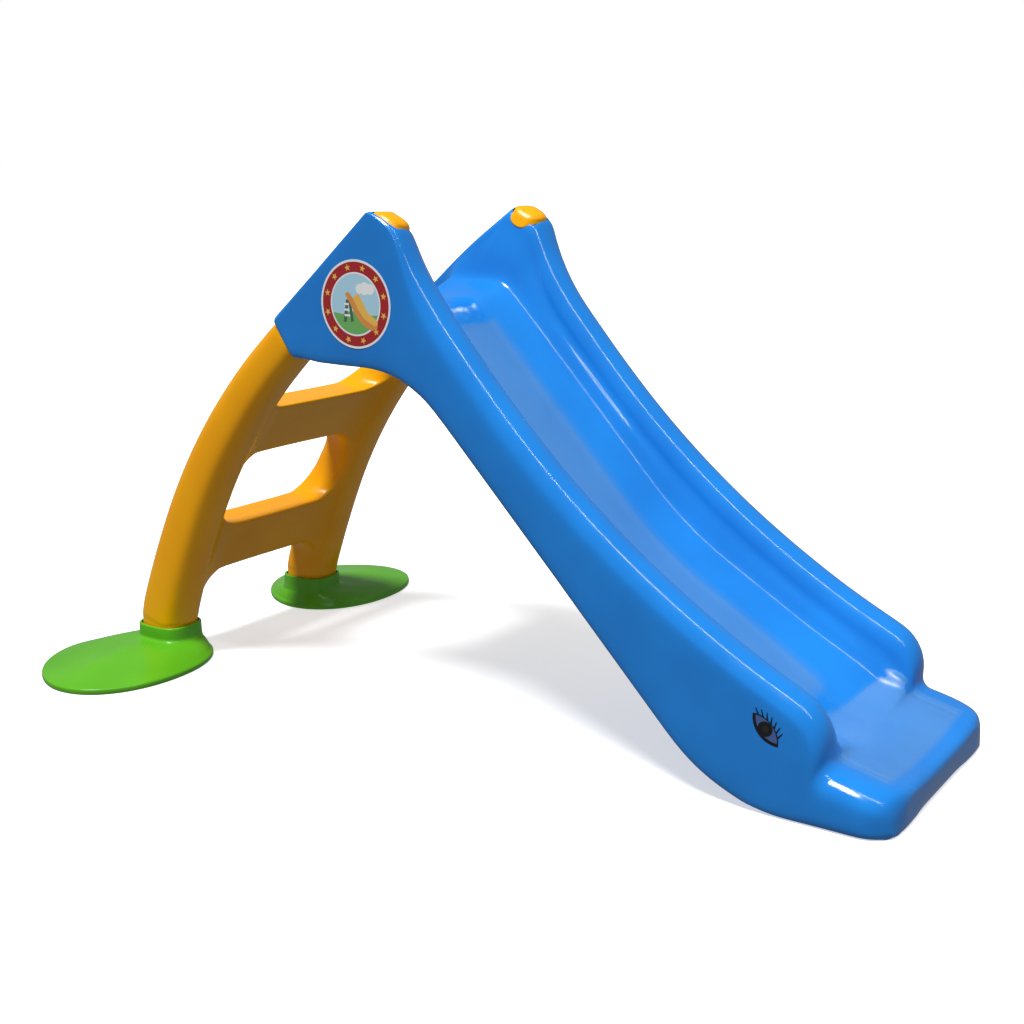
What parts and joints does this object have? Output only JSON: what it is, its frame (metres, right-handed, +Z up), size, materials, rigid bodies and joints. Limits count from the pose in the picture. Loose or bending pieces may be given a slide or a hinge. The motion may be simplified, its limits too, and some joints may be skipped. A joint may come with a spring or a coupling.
{
  "type": "toddler slide",
  "caption": "Hollow moulded child's slide with high side wings, a plug-in ladder with rounded steps and wide oval push-on feet.",
  "frame": {"origin": "on the floor under the middle of the slide's bounding box", "axes": "+X towards the toe of the chute, where a child arrives; +Y to the left of a child who slides down; +Z up"},
  "size_m": [1.3996, 0.838, 0.7408],
  "materials": {
    "chute_blue": "smooth blow-moulded polyethylene, soft gloss",
    "ladder_yellow": "smooth blow-moulded polyethylene, soft gloss",
    "foot_green": "smooth injection-moulded polypropylene, gloss",
    "label_print": "printed self-adhesive film, gloss",
    "eye_print": "printed self-adhesive film, gloss"
  },
  "bodies": {
    "chute_body": {"chute": "chute_blue", "label_left": "label_print", "label_right": "label_print", "eye_left": "eye_print", "eye_right": "eye_print"},
    "ladder_body": {"ladder": "ladder_yellow"},
    "foot_left_body": {"foot_left": "foot_green"},
    "foot_right_body": {"foot_right": "foot_green"}
  },
  "joints": [
    {"name": "ladder_plug", "type": "slide", "parent": "chute_body", "child": "ladder_body", "axis": [-0.7513, 0, -0.66], "range_m": [0, 0.25]},
    {"name": "foot_left_push_fit", "type": "slide", "parent": "ladder_body", "child": "foot_left_body", "axis": [0, 0, -1], "range_m": [0, 0.05]},
    {"name": "foot_right_push_fit", "type": "slide", "parent": "ladder_body", "child": "foot_right_body", "axis": [0, 0, -1], "range_m": [0, 0.05]}
  ]
}
